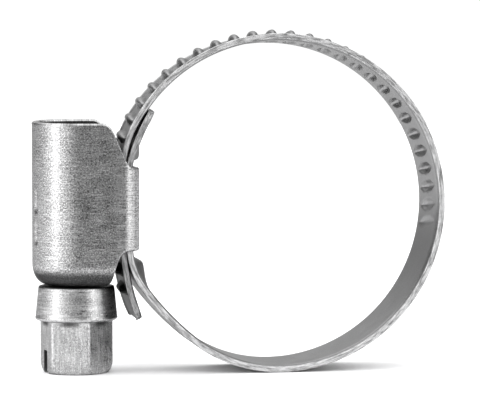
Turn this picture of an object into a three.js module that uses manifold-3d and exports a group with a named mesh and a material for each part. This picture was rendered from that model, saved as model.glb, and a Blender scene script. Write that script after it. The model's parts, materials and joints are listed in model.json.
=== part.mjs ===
// Worm-drive hose clamp, standing on the bottom of its ring and on the head of its screw.
//
// The clamp is three real pieces: one steel strip (the band), one pressed housing and one worm screw.
// The strip starts as a short tongue, runs down through the housing against the saddle, goes once round
// the ring, comes back down through the housing under the worm and ends in a free tail.
// The ring lies in the XZ plane and its axis is Y.  The strip is cut into stretches at the places where
// it flexes when the screw turns, so that each stretch can follow its own joint.
// Millimetres, +Z up.  A heading is the direction in which the strip runs: 0 down, 90 deg to +X, 180 up.

import * as THREE from 'three';
import { mergeVertices } from 'three/addons/utils/BufferGeometryUtils.js';
import Module from 'manifold-3d';

const wasm = await Module();
wasm.setup();

const DEG = Math.PI / 180;

// ---- band ----
const RING_INNER_DIAMETER = 35;
const BAND_WIDTH = 9;
const BAND_THICKNESS = 0.6;
const EDGE_FLARE = 0.2;            // how far the two long edges stand out from the strip
const EDGE_FLARE_WIDTH = 0.7;
const TIP_RADIUS = 1.6;            // rounded corners of the free ends

// ---- pressed thread of the band, and the worm that drives it ----
const THREAD_PITCH = 2.04;
const RIDGE_HEIGHT = 0.7;
const RIDGE_HALF_WIDTH = 0.62;
const RIDGE_HALF_LENGTH = 3.3;
const WORM_CREST_RADIUS = 4.0;
const WORM_ROOT_RADIUS = 3.15;
const WORM_TOP_Z = 6.9;
const THREAD_TOP_Z = 6.3;
const THREAD_BOTTOM_Z = -6.5;
const NECK_RADIUS = 2.7;
const COLLAR_TOP_RADIUS = 4.1;
const COLLAR_RADIUS = 4.45;
const COLLAR_LENGTH = 3.7;
const COLLAR_TOP_CHAMFER = 0.2;
const COLLAR_FOOT_CHAMFER = 0.3;
const HEX_ACROSS_FLATS = 7;
const HEX_CHAMFER_HEIGHT = 1.2;
const HEX_END_INSET = 0.15;        // how far the turned end face lies inside the flats
const HEX_TURN = 13 * DEG;         // slot direction, seen from above, from the X axis
const SLOT_WIDTH = 1.1;
const SLOT_DEPTH = 2.5;

// ---- housing ----
const HOUSING_THICKNESS = 0.62;
const HOUSING_TOP_Z = 8.8;
const HOUSING_BOTTOM_Z = -8.75;
const SADDLE_TOP_Z = 3.97;
const SADDLE_BOTTOM_Z = -5.0;
const SADDLE_CORNER_RADIUS = 1.5;
const SADDLE_INSET = 2.3;          // how far the saddle lies inside the ring's circle
const END_ROUND_DEPTH = 1.6;       // how far the barrel's lower end is drawn in
const END_ROUND_HEIGHT = 2.3;
const END_WALL_REACH = 3.3;        // how far the turned-in end comes past the screw axis
const SLANT_FOOT = { fromSaddle: 1.75, aboveSaddle: 1.0 };   // lower end of the slanted upper edge
const SLANT_TOP = { pastEndWall: 0.3, belowTop: 1.2 };
const LOWER_CUT = { pastEndWall: 0.5, belowSaddle: 1.6 };    // where the concave lower edge turns down
const MARK_LENGTH = 2.2;
const MARK_WIDTH = 0.55;
const MARK_DEPTH = 0.2;
const MARK_Y = -1.8;
const MARK_TOPS = [1.4, -2.0];

// ---- clearances ----
const CREST_TO_BAND = 0.4;         // worm crest to the strip's flat surface
const WORM_TO_BARREL = 0.13;
const LAYER_GAP = 0.1;             // between the two layers of strip, and between strip and saddle
const BAND_SIDE_GAP = 0.25;        // strip edge to housing wall
const NECK_CLEARANCE = 0.25;
const SHOULDER_GAP = 0.3;          // end wall to the worm's shoulder above and the collar below
const SPLIT_GAP = 0.3;             // between neighbouring stretches of the strip

// ---- shape of the strip's line: radii of its bends (mm) and headings where they meet ----
const TONGUE_RADIUS = 25;
const TONGUE_TIP_HEADING = -31 * DEG;
const TONGUE_BEND_RADIUS = 4;
const TONGUE_BEND_HEADING = -18 * DEG;
const TONGUE_BEND_BELOW_SADDLE_TOP = 0.37;
const EXIT_Z = -4.2175;            // where the fixed layer starts to bend out of the housing
const EXIT_RADIUS = 8;
const EXIT_HEADING = 36 * DEG;
const RELAXED_HEADING = 50 * DEG;
const ENTRY_RADIUS = 11;
const ENTRY_ANGLE = 27 * DEG;
const TAIL_RADIUS = 24;
const TAIL_ANGLE = 22.5 * DEG;
const TAIL_START_Z = -3.2;
const FIRST_RIDGE_FROM_TIP = 2.2;

// ---- bulges pressed inwards beside the saddle, which carry the hose over its edges ----
const LOWER_BULGE = { height: 1.1, rise: 1.7, fall: 4.0 };
const UPPER_BULGE = { height: 0.8, rise: 0.9, fall: 2.4 };
const BULGE_GAP = 0.35;            // from the saddle's edge to the start of a bulge
const BULGE_HALF_WIDTH = 3.9;

// where the strip flexes, as headings, and where the pressed thread ends on the ring
const HINGE_HEADINGS = [39.7, 95, 150.3, 205.7, 261, 316.3].map((h) => h * DEG);
const THREAD_END_HEADING = 168 * DEG;

// ---- derived sizes; the ring's centre is (0, 0) until the whole clamp is set down ----
const midRadius = RING_INNER_DIAMETER / 2 + BAND_THICKNESS / 2;
const halfBand = BAND_THICKNESS / 2;
const layerStep = BAND_THICKNESS + LAYER_GAP;
const saddleOuter = WORM_CREST_RADIUS + CREST_TO_BAND + 2 * layerStep;   // from the screw axis
const saddleInner = saddleOuter + HOUSING_THICKNESS;
const saddleX = -(midRadius - halfBand - SADDLE_INSET);
const wormX = saddleX - saddleInner;
const threadedLayerX = wormX + WORM_CREST_RADIUS + CREST_TO_BAND + halfBand;
const fixedLayerX = threadedLayerX + layerStep;
const ringBottomZ = -(midRadius + halfBand + EDGE_FLARE);
const barrelInner = WORM_CREST_RADIUS + WORM_TO_BARREL;
const barrelOuter = barrelInner + HOUSING_THICKNESS;
const wallInner = Math.max(BAND_WIDTH / 2 + BAND_SIDE_GAP, WORM_CREST_RADIUS + WORM_TO_BARREL);
const wallOuter = wallInner + HOUSING_THICKNESS;
const endWallTopZ = HOUSING_BOTTOM_Z + HOUSING_THICKNESS;

const clamp = new THREE.Group();

// ---------- solids ----------

function toManifold(geometry) {
  const bare = geometry.index ? geometry.toNonIndexed() : geometry.clone();
  bare.deleteAttribute('normal');
  bare.deleteAttribute('uv');
  const merged = mergeVertices(bare, 1e-4);
  return new wasm.Manifold(new wasm.Mesh({
    numProp: 3,
    vertProperties: Float32Array.from(merged.attributes.position.array),
    triVerts: Uint32Array.from(merged.index.array),
  }));
}

function toGeometry(manifold) {
  const mesh = manifold.getMesh();
  const geometry = new THREE.BufferGeometry();
  geometry.setAttribute('position', new THREE.BufferAttribute(mesh.vertProperties, 3));
  geometry.setIndex(new THREE.BufferAttribute(mesh.triVerts, 1));
  geometry.computeVertexNormals();
  return geometry;
}

function addPart(name, geometry, color, roughness) {
  const material = new THREE.MeshStandardMaterial({ color, roughness, metalness: 1 });
  const mesh = new THREE.Mesh(geometry, material);
  mesh.name = name;
  clamp.add(mesh);
}

// A shape's outline as points, without the doubled ones where its curves meet.
function tidyShape(shape) {
  const points = shape.getPoints(10);
  const apart = points.filter((p, i) => p.distanceTo(points[(i + 1) % points.length]) > 1e-3);
  return new THREE.Shape(apart);
}

function smoothstep(from, to, value) {
  const t = THREE.MathUtils.clamp((value - from) / (to - from), 0, 1);
  return t * t * (3 - 2 * t);
}

// ---------- the strip's line ----------

const along = (heading) => new THREE.Vector2(Math.sin(heading), -Math.cos(heading));
const inward = (heading) => new THREE.Vector2(Math.cos(heading), Math.sin(heading));

// Radii of the relaxed and lower bends, which bring the strip from its exit onto the ring's circle: their
// ends meet the circle's lowest point when both its x and its z come out right.
function exitRadii() {
  const xShare = [Math.cos(EXIT_HEADING) - Math.cos(RELAXED_HEADING), Math.cos(RELAXED_HEADING)];
  const zShare = [Math.sin(RELAXED_HEADING) - Math.sin(EXIT_HEADING), 1 - Math.sin(RELAXED_HEADING)];
  const x = -fixedLayerX - EXIT_RADIUS * (1 - Math.cos(EXIT_HEADING));
  const z = EXIT_Z + midRadius - EXIT_RADIUS * Math.sin(EXIT_HEADING);
  const scale = xShare[0] * zShare[1] - xShare[1] * zShare[0];
  return [(x * zShare[1] - xShare[1] * z) / scale, (xShare[0] * z - x * zShare[0]) / scale];
}

const [relaxedRadius, lowerRadius] = exitRadii();
const upperRadius = -(threadedLayerX + ENTRY_RADIUS * (1 - Math.cos(ENTRY_ANGLE))) / Math.cos(ENTRY_ANGLE);
const channelTopZ = midRadius - upperRadius * (1 - Math.sin(ENTRY_ANGLE))
  - ENTRY_RADIUS * Math.sin(ENTRY_ANGLE);
const tongueBendZ = SADDLE_TOP_Z - TONGUE_BEND_BELOW_SADDLE_TOP;

const FULL_TURN = 2 * Math.PI;
const bends = {
  tongue: { radius: TONGUE_RADIUS, from: TONGUE_TIP_HEADING, to: TONGUE_BEND_HEADING },
  tongueBend: { radius: TONGUE_BEND_RADIUS, from: TONGUE_BEND_HEADING, to: 0 },
  onSaddle: { straight: tongueBendZ - EXIT_Z, from: 0, to: 0 },
  exit: { radius: EXIT_RADIUS, from: 0, to: EXIT_HEADING },
  relaxed: { radius: relaxedRadius, from: EXIT_HEADING, to: RELAXED_HEADING },
  lower: { radius: lowerRadius, from: RELAXED_HEADING, to: 90 * DEG },
  ring: { radius: midRadius, from: 90 * DEG, to: 270 * DEG },
  upper: { radius: upperRadius, from: 270 * DEG, to: FULL_TURN - ENTRY_ANGLE },
  entry: { radius: ENTRY_RADIUS, from: FULL_TURN - ENTRY_ANGLE, to: FULL_TURN },
  channel: { straight: channelTopZ - TAIL_START_Z, from: FULL_TURN, to: FULL_TURN },
  tail: { radius: TAIL_RADIUS, from: FULL_TURN, to: FULL_TURN + TAIL_ANGLE },
};
const bendList = Object.values(bends);

// Lays the bends end to end, with the lowest point of the ring at (0, -midRadius).
function layLine() {
  let length = 0;
  const point = new THREE.Vector2();
  for (const bend of bendList) {
    bend.start = length;
    bend.point = point.clone();
    if (bend.straight !== undefined) {
      point.addScaledVector(along(bend.from), bend.straight);
      length += bend.straight;
    } else {
      point.addScaledVector(inward(bend.from), bend.radius);
      point.addScaledVector(inward(bend.to), -bend.radius);
      length += bend.radius * (bend.to - bend.from);
    }
  }
  const shift = new THREE.Vector2(0, -midRadius).sub(bends.ring.point);
  for (const bend of bendList) bend.point.add(shift);
  return length;
}

const stripLength = layLine();

// Point and heading of the strip's middle line at a distance from the tongue's tip.
function lineAt(distance) {
  const bend = bendList.findLast((b) => distance >= b.start) ?? bends.tongue;
  const past = distance - bend.start;
  if (bend.straight !== undefined) {
    return { point: bend.point.clone().addScaledVector(along(bend.from), past), heading: bend.from };
  }
  const heading = bend.from + past / bend.radius;
  const point = bend.point.clone().addScaledVector(inward(bend.from), bend.radius);
  return { point: point.addScaledVector(inward(heading), -bend.radius), heading };
}

function distanceAtHeading(heading) {
  const bend = bendList.find((b) => b.radius !== undefined && heading >= b.from && heading <= b.to);
  return bend.start + bend.radius * (heading - bend.from);
}

const channelStart = bends.channel.start;
const tailStart = bends.tail.start;
const threadZero = channelStart + channelTopZ;      // where the threaded layer passes z = 0
const threadStart = distanceAtHeading(THREAD_END_HEADING);
const hingeDistances = HINGE_HEADINGS.map(distanceAtHeading);

// ---------- pressed thread ----------

// Slope of the ridges across the strip: the worm's lead angle at the depth where they mesh.
const ridgeSlope = THREAD_PITCH / (FULL_TURN * (WORM_CREST_RADIUS - 0.1));

// Height of the pressed ridge above the strip at a distance along it and a place y across it.
function ridgeHeight(distance, y, threaded) {
  if (!threaded) return 0;
  const z = threadZero - distance - ridgeSlope * y;
  const steps = z / THREAD_PITCH - 0.5;
  const ridge = Math.round(steps);
  const centre = threadZero - (ridge + 0.5) * THREAD_PITCH;
  if (centre < threadStart || centre > stripLength - FIRST_RIDGE_FROM_TIP) return 0;
  if (centre > channelStart - 3 && centre < channelStart) return 0;
  const end = 1 - smoothstep(RIDGE_HALF_LENGTH - 1.4, RIDGE_HALF_LENGTH, Math.abs(y));
  if (end === 0) return 0;
  const off = Math.abs(steps - ridge) * THREAD_PITCH / (RIDGE_HALF_WIDTH * Math.sqrt(end));
  return off >= 1 ? 0 : RIDGE_HEIGHT * end * (0.5 + 0.5 * Math.cos(Math.PI * off));
}

function edgeFlare(y) {
  const past = (Math.abs(y) - (BAND_WIDTH / 2 - EDGE_FLARE_WIDTH)) / EDGE_FLARE_WIDTH;
  return past > 0 ? EDGE_FLARE * past * past : 0;
}

const saddleTopDistance = bends.onSaddle.start - TONGUE_BEND_BELOW_SADDLE_TOP;
const saddleBottomDistance = bends.onSaddle.start + tongueBendZ - SADDLE_BOTTOM_Z;

// How far the strip is pressed inwards beside the saddle's two edges.
function bulge(distance, y) {
  const across = Math.max(0, 1 - (y / BULGE_HALF_WIDTH) ** 2) ** 2;
  const past = (edgeDistance, { height, rise, fall }) => height
    * smoothstep(BULGE_GAP, BULGE_GAP + rise, edgeDistance)
    * (1 - smoothstep(BULGE_GAP + rise, BULGE_GAP + rise + fall, edgeDistance));
  return across * (past(distance - saddleBottomDistance, LOWER_BULGE)
    + past(saddleTopDistance - distance, UPPER_BULGE));
}

// Distances along the strip where a stretch has a row of vertices.
function stations(from, to, threaded) {
  const step = threaded ? THREAD_PITCH / 5 : from < saddleBottomDistance ? 0.8 : 1.9;
  const first = Math.ceil((from - threadZero) / step + 0.25);
  const list = [from];
  for (let i = first; threadZero + i * step < to - 0.25 * step; i += 1) list.push(threadZero + i * step);
  list.push(to);
  return list;
}

// One stretch of strip: a box bent along the line, with its ridges, flared edges and rounded free end.
function stripGeometry(from, to, { threaded = false, roundStart = false, roundEnd = false } = {}) {
  const rows = stations(from, to, threaded);
  const half = BAND_WIDTH / 2;
  const across = threaded
    ? [-half, -half + EDGE_FLARE_WIDTH, -RIDGE_HALF_LENGTH + 0.5, -1.9, 0, 1.9, RIDGE_HALF_LENGTH - 0.5,
      half - EDGE_FLARE_WIDTH, half]
    : [-half, -half + EDGE_FLARE_WIDTH / 2, -half + EDGE_FLARE_WIDTH, -2.4, -1.2, 0, 1.2, 2.4,
      half - EDGE_FLARE_WIDTH, half - EDGE_FLARE_WIDTH / 2, half];
  const geometry = new THREE.BoxGeometry(1, across.length - 1, rows.length - 1,
    1, across.length - 1, rows.length - 1);
  const position = geometry.attributes.position;
  for (let i = 0; i < position.count; i += 1) {
    const side = position.getX(i) * BAND_THICKNESS;                     // inner side positive
    const y = -across[Math.round(position.getY(i) + (across.length - 1) / 2)];
    const distance = rows[Math.round(position.getZ(i) + (rows.length - 1) / 2)];
    let narrowed = y;
    const fromTip = roundStart ? distance - from : roundEnd ? to - distance : TIP_RADIUS;
    if (fromTip < TIP_RADIUS) {
      const rounded = TIP_RADIUS - Math.sqrt(TIP_RADIUS ** 2 - (TIP_RADIUS - fromTip) ** 2);
      narrowed = y * (1 - rounded / half);
    }
    const { point, heading } = lineAt(distance);
    const out = ridgeHeight(distance, y, threaded) + edgeFlare(y) - bulge(distance, y);
    point.addScaledVector(inward(heading), side - out);
    position.setXYZ(i, point.x, narrowed, point.y);
  }
  geometry.deleteAttribute('normal');
  geometry.deleteAttribute('uv');
  const merged = mergeVertices(geometry, 1e-4);
  merged.computeVertexNormals();
  return merged;
}

// ---------- housing ----------

// The housing's section across the screw is two outlines that join: a barrel and a saddle end.
// Barrel: an oval dome over the worm with straight sides that run to farX.
function barrelSection(depth, halfWidth, farX) {
  const shape = new THREE.Shape();
  shape.moveTo(farX, halfWidth);
  shape.lineTo(0, halfWidth);
  shape.absellipse(0, 0, depth, halfWidth, Math.PI / 2, 3 * Math.PI / 2, false, 0);
  shape.lineTo(farX, -halfWidth);
  return shape;
}

// Saddle end: straight sides that close under the strip with rounded corners.
function saddleSection(nearX, halfWidth, farX, corner) {
  const shape = new THREE.Shape();
  shape.moveTo(nearX, halfWidth);
  shape.lineTo(nearX, -halfWidth);
  shape.lineTo(farX - corner, -halfWidth);
  shape.absarc(farX - corner, -halfWidth + corner, corner, -Math.PI / 2, 0, false);
  shape.absarc(farX - corner, halfWidth - corner, corner, 0, Math.PI / 2, false);
  return shape;
}

// Side view of the sheet: barrel above and below, saddle in the middle, slanted edges between.
function housingSideProfile() {
  const farLeft = -barrelOuter - 1;
  const cut = [END_WALL_REACH + LOWER_CUT.pastEndWall, SADDLE_BOTTOM_Z - LOWER_CUT.belowSaddle];
  const foot = [saddleInner - SLANT_FOOT.fromSaddle, SADDLE_TOP_Z + SLANT_FOOT.aboveSaddle];
  const top = [END_WALL_REACH + SLANT_TOP.pastEndWall, HOUSING_TOP_Z - SLANT_TOP.belowTop];
  const shape = new THREE.Shape();
  shape.moveTo(farLeft, HOUSING_BOTTOM_Z - 1);
  shape.lineTo(END_WALL_REACH, HOUSING_BOTTOM_Z - 1);
  shape.lineTo(END_WALL_REACH, endWallTopZ + 1);
  shape.lineTo(...cut);
  shape.bezierCurveTo(cut[0] + 0.3, cut[1] + 0.9, cut[0] + 0.6, SADDLE_BOTTOM_Z,
    foot[0] + 0.45, SADDLE_BOTTOM_Z);
  shape.lineTo(saddleInner + 1, SADDLE_BOTTOM_Z);
  shape.lineTo(saddleInner + 1, SADDLE_TOP_Z);
  shape.lineTo(foot[0] + 0.85, SADDLE_TOP_Z);
  shape.quadraticCurveTo(foot[0] + 0.35, SADDLE_TOP_Z, ...foot);
  shape.lineTo(...top);
  shape.quadraticCurveTo(top[0] - 0.5, HOUSING_TOP_Z, top[0] - 1.3, HOUSING_TOP_Z);
  shape.lineTo(farLeft, HOUSING_TOP_Z);
  return shape;
}

// The barrel, drawn in over a quarter of an oval at the bottom, joined with the saddle end.
function housingCore(depth, halfWidth, farX, corner, roundDepth, roundHeight, bottomZ) {
  const height = HOUSING_TOP_Z - HOUSING_BOTTOM_Z + 2;
  const barrel = new THREE.ExtrudeGeometry(tidyShape(barrelSection(depth, halfWidth, WORM_CREST_RADIUS)), {
    depth: height, bevelEnabled: true, bevelThickness: roundHeight, bevelSize: roundDepth,
    bevelOffset: -roundDepth, bevelSegments: 5,
  });
  barrel.translate(0, 0, bottomZ + roundHeight);
  const saddle = new THREE.ExtrudeGeometry(
    tidyShape(saddleSection(WORM_CREST_RADIUS - 1, halfWidth, farX, corner)),
    { depth: height, bevelEnabled: false },
  );
  saddle.translate(0, 0, HOUSING_BOTTOM_Z + 1);
  return toManifold(barrel).add(toManifold(saddle));
}

function housingGeometry() {
  const outer = housingCore(barrelOuter, wallOuter, saddleInner, SADDLE_CORNER_RADIUS,
    END_ROUND_DEPTH, END_ROUND_HEIGHT, HOUSING_BOTTOM_Z);
  const inner = housingCore(barrelInner, wallInner, saddleOuter, SADDLE_CORNER_RADIUS - HOUSING_THICKNESS,
    END_ROUND_DEPTH - HOUSING_THICKNESS, END_ROUND_HEIGHT - HOUSING_THICKNESS, endWallTopZ);
  const side = new THREE.ExtrudeGeometry(tidyShape(housingSideProfile()), {
    depth: 4 * wallOuter, bevelEnabled: false,
  });
  side.translate(0, 0, -2 * wallOuter).rotateX(Math.PI / 2);
  const neckHole = new THREE.CylinderGeometry(NECK_RADIUS + NECK_CLEARANCE, NECK_RADIUS + NECK_CLEARANCE,
    4, 28);
  neckHole.rotateX(Math.PI / 2).translate(0, 0, HOUSING_BOTTOM_Z);
  let solid = outer.subtract(inner).intersect(toManifold(side)).subtract(toManifold(neckHole));
  // two plain bars pressed into the dome
  const markX = -barrelOuter * Math.sqrt(1 - (MARK_Y / wallOuter) ** 2);
  const markTurn = Math.atan((MARK_Y / wallOuter ** 2) / (markX / barrelOuter ** 2));
  for (const top of MARK_TOPS) {
    const mark = new THREE.BoxGeometry(2 * MARK_DEPTH, MARK_WIDTH, MARK_LENGTH);
    mark.rotateZ(markTurn).translate(markX, MARK_Y, top - MARK_LENGTH / 2);
    solid = solid.subtract(toManifold(mark));
  }
  return toGeometry(solid).translate(wormX, 0, 0);
}

// ---------- worm screw ----------

// Share of the thread's full height at a height z and an angle round the screw (right-hand thread).
function threadShare(z, angle) {
  const turns = z / THREAD_PITCH - angle / FULL_TURN;
  const off = Math.abs(turns - Math.round(turns)) * THREAD_PITCH;
  const ends = smoothstep(THREAD_BOTTOM_Z, THREAD_BOTTOM_Z + 1.2, z)
    * (1 - smoothstep(THREAD_TOP_Z - 1.2, THREAD_TOP_Z, z));
  return ends * (1 - smoothstep(0.22, 0.6, off));
}

function screwGeometry() {
  const shoulderZ = endWallTopZ + SHOULDER_GAP;
  const collarTopZ = HOUSING_BOTTOM_Z - SHOULDER_GAP / 2;
  const collarBottomZ = collarTopZ - COLLAR_LENGTH;
  const profile = [[0, WORM_TOP_Z], [WORM_ROOT_RADIUS - 0.6, WORM_TOP_Z]];
  const rows = Math.round((THREAD_TOP_Z - THREAD_BOTTOM_Z) / (THREAD_PITCH / 8));
  for (let i = 0; i <= rows; i += 1) {
    profile.push([WORM_ROOT_RADIUS, THREAD_TOP_Z + (THREAD_BOTTOM_Z - THREAD_TOP_Z) * i / rows]);
  }
  profile.push([WORM_ROOT_RADIUS, shoulderZ], [NECK_RADIUS, shoulderZ], [NECK_RADIUS, collarTopZ],
    [COLLAR_TOP_RADIUS - COLLAR_TOP_CHAMFER, collarTopZ],
    [COLLAR_TOP_RADIUS, collarTopZ - COLLAR_TOP_CHAMFER],
    [COLLAR_RADIUS, collarBottomZ + COLLAR_FOOT_CHAMFER],
    [COLLAR_RADIUS - COLLAR_FOOT_CHAMFER, collarBottomZ], [0, collarBottomZ]);
  // the profile runs upwards, so that the faces point out
  const points = profile.reverse().map(([r, z]) => new THREE.Vector2(r, z));
  const turned = new THREE.LatheGeometry(points, 30).rotateX(Math.PI / 2);
  const position = turned.attributes.position;
  for (let i = 0; i < position.count; i += 1) {
    const [x, y, z] = [position.getX(i), position.getY(i), position.getZ(i)];
    const radius = Math.hypot(x, y);
    if (z > THREAD_BOTTOM_Z && z < THREAD_TOP_Z && radius > WORM_ROOT_RADIUS - 0.01) {
      const share = threadShare(z, Math.atan2(y, x));
      const grown = radius + (WORM_CREST_RADIUS - WORM_ROOT_RADIUS) * share;
      position.setXYZ(i, x * grown / radius, y * grown / radius, z);
    }
  }
  // hexagon with a turned chamfer on its end
  const hexRadius = HEX_ACROSS_FLATS / 2 / Math.cos(30 * DEG);
  const hexHeight = collarBottomZ + 0.3 - ringBottomZ;
  const hexagon = new THREE.CylinderGeometry(hexRadius, hexRadius, hexHeight, 6);
  hexagon.rotateX(Math.PI / 2).translate(0, 0, ringBottomZ + hexHeight / 2);
  hexagon.rotateZ(HEX_TURN);
  const chamferRadius = HEX_ACROSS_FLATS / 2 - HEX_END_INSET;
  const chamfer = new THREE.LatheGeometry([[0, ringBottomZ], [chamferRadius, ringBottomZ],
    [chamferRadius + 0.35, ringBottomZ + HEX_CHAMFER_HEIGHT / 3],
    [hexRadius + 0.02, ringBottomZ + HEX_CHAMFER_HEIGHT], [hexRadius + 0.02, collarBottomZ + 0.4],
    [0, collarBottomZ + 0.4]].map(([r, z]) => new THREE.Vector2(r, z)), 36).rotateX(Math.PI / 2);
  const slot = new THREE.BoxGeometry(3 * hexRadius, SLOT_WIDTH, 2 * SLOT_DEPTH);
  slot.translate(0, 0, ringBottomZ).rotateZ(HEX_TURN);
  const head = toManifold(hexagon).intersect(toManifold(chamfer)).subtract(toManifold(slot));
  return toGeometry(toManifold(turned).add(head)).translate(wormX, 0, 0);
}

// ---------- assembly ----------

addPart('housing', housingGeometry(), 0xb9bcbd, 0.34);
addPart('worm_screw', screwGeometry(), 0xa9adb0, 0.36);

const halfGap = SPLIT_GAP / 2;
addPart('band_anchor', stripGeometry(0, hingeDistances[0] - halfGap, { roundStart: true }),
  0xc4c6c6, 0.3);
hingeDistances.forEach((hinge, i) => {
  const next = hingeDistances[i + 1] ?? channelStart + halfGap;
  addPart(`band_link_${i + 1}`, stripGeometry(hinge + halfGap, next - halfGap,
    { threaded: next > threadStart }), 0xc4c6c6, 0.3);
});
addPart('band_channel', stripGeometry(channelStart + SPLIT_GAP, tailStart - halfGap,
  { threaded: true }), 0xc4c6c6, 0.3);
addPart('band_tail', stripGeometry(tailStart + halfGap, stripLength,
  { threaded: true, roundEnd: true }), 0xc4c6c6, 0.3);

// Set the clamp down: the middle of its outline over the origin, its lowest point at z = 0.
const outline = new THREE.Box3().setFromObject(clamp, true);
const middle = outline.getCenter(new THREE.Vector3());
clamp.position.set(-middle.x, -middle.y, -outline.min.z);

export default clamp;
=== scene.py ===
import json
import math

import bmesh
import bpy
import numpy as np
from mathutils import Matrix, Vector


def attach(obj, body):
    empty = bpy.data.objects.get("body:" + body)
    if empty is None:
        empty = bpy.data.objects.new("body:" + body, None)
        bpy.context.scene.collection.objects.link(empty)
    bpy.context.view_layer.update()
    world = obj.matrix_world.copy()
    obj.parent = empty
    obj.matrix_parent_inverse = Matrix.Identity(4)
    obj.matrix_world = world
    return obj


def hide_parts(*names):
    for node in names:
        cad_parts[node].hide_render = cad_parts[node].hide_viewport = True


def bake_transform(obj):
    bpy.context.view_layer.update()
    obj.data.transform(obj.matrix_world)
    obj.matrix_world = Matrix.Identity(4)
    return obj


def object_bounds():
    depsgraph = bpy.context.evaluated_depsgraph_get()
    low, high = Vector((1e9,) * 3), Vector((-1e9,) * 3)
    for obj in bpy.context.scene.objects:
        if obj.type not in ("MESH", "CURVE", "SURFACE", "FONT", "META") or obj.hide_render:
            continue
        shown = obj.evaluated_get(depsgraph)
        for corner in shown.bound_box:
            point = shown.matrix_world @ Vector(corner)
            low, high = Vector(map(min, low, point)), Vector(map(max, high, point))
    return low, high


# Looks for the worm-drive hose clamp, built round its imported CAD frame.
#
# Every piece is worked out in millimetres in the ring's own frame: the ring's centre is the origin, its
# axis is Y, and place() sets the piece down in the CAD frame, in metres.
# A heading is the direction in which the strip runs: 0 down, 90 degrees to +X, 180 up.
# A distance is measured along the strip's middle line from the tip of its tongue.

DEG = math.pi / 180
FULL_TURN = 2 * math.pi

# ---- band ----
RING_INNER_DIAMETER = 35
BAND_WIDTH = 9
BAND_THICKNESS = 0.6
EDGE_FLARE = 0.2             # how far the two long edges stand out from the strip
EDGE_FLARE_WIDTH = 0.7
EDGE_ROUNDING = 0.13         # radius of the strip's sheared corners
TIP_RADIUS = 1.6             # rounded corners of the free ends

# ---- pressed thread ----
THREAD_PITCH = 2.04
RIDGE_HEIGHT = 0.7
RIDGE_HALF_WIDTH = 0.62
RIDGE_HALF_LENGTH = 3.0
RIDGE_TAPER = 1.9            # length over which a ridge narrows to a point at each end
FIRST_RIDGE_FROM_TIP = 2.2
FAINT_RIDGES = 4             # the first ridges grow to full height over this many pitches
THREAD_END_HEADING = 168 * DEG

# ---- worm screw ----
WORM_CREST_RADIUS = 4.0
WORM_ROOT_RADIUS = 3.15
WORM_TOP_Z = 6.9
THREAD_TOP_Z = 6.3
THREAD_BOTTOM_Z = -6.5
NECK_RADIUS = 2.7
COLLAR_TOP_RADIUS = 4.1
COLLAR_RADIUS = 4.45
COLLAR_LENGTH = 3.7
COLLAR_TOP_CHAMFER = 0.2
COLLAR_FOOT_CHAMFER = 0.3
HEX_ACROSS_FLATS = 7
HEX_CHAMFER_HEIGHT = 1.2
HEX_END_INSET = 0.15         # how far the turned end face lies inside the flats
HEX_TURN = 13 * DEG          # direction of the slot, seen from above, from the X axis
SLOT_WIDTH = 1.1
SLOT_DEPTH = 2.5
SCREW_COLUMNS = 192          # vertices in each ring round the screw

# ---- housing ----
HOUSING_THICKNESS = 0.62
HOUSING_TOP_Z = 8.8
HOUSING_BOTTOM_Z = -8.75
SADDLE_TOP_Z = 3.97
SADDLE_BOTTOM_Z = -5.0
SADDLE_CORNER_RADIUS = 1.9
END_ROUND_DEPTH = 1.6        # how far the barrel's lower end is drawn in
END_ROUND_HEIGHT = 2.3
END_WALL_REACH = 3.3         # how far the drawn-in end comes past the screw axis
SLANT_FOOT = (1.75, 1.0)     # slanted upper edge's lower end, from the saddle's face and above its top
SLANT_TOP = (0.3, 1.2)       # its upper end, past the end wall's reach and below the housing's top
LOWER_CUT = (0.5, 1.6)       # where the lower edge turns down, past that reach and below the saddle
RIM_ROUNDING = 0.28          # radius of the sheet's cut edges
SHEET_ROWS = 112             # rows of vertices down each face of the sheet
MARK_LENGTH = 2.2
MARK_WIDTH = 0.55
MARK_DEPTH = 0.2
MARK_TOPS = (1.4, -2.0)
MARK_Y = -1.8
TOP_TILT = 0.045             # rise of the barrel's upper rim for each millimetre of Y

# ---- clearances ----
CREST_TO_BAND = 0.4          # worm crest to the strip's flat surface
WORM_TO_BARREL = 0.13
LAYER_GAP = 0.1              # between the two layers of strip, and between strip and saddle
BAND_SIDE_GAP = 0.25
NECK_CLEARANCE = 0.25
SHOULDER_GAP = 0.3
SADDLE_INSET = 2.3           # how far the saddle lies inside the ring's circle

# ---- shape of the strip's line: radii of its bends, and headings where they meet ----
TONGUE_RADIUS = 25
TONGUE_TIP_HEADING = -31 * DEG
TONGUE_BEND_RADIUS = 4
TONGUE_BEND_HEADING = -18 * DEG
TONGUE_BEND_BELOW_SADDLE_TOP = 0.37
EXIT_Z = -4.2175             # where the fixed layer starts to bend out of the housing
EXIT_RADIUS = 8
EXIT_HEADING = 36 * DEG
RELAXED_HEADING = 50 * DEG
ENTRY_RADIUS = 11
ENTRY_ANGLE = 27 * DEG
TAIL_RADIUS = 24
TAIL_ANGLE = 22.5 * DEG
TAIL_START_Z = -3.2

# ---- bulges pressed inwards beside the saddle: (height, rise, fall) ----
LOWER_BULGE = (1.1, 1.7, 4.0)
UPPER_BULGE = (0.8, 0.9, 2.4)
BULGE_GAP = 0.35
BULGE_HALF_WIDTH = 3.9

# ---- where the strip flexes ----
HINGE_HEADINGS = [heading * DEG for heading in (39.7, 95, 150.3, 205.7, 261, 316.3)]

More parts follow.
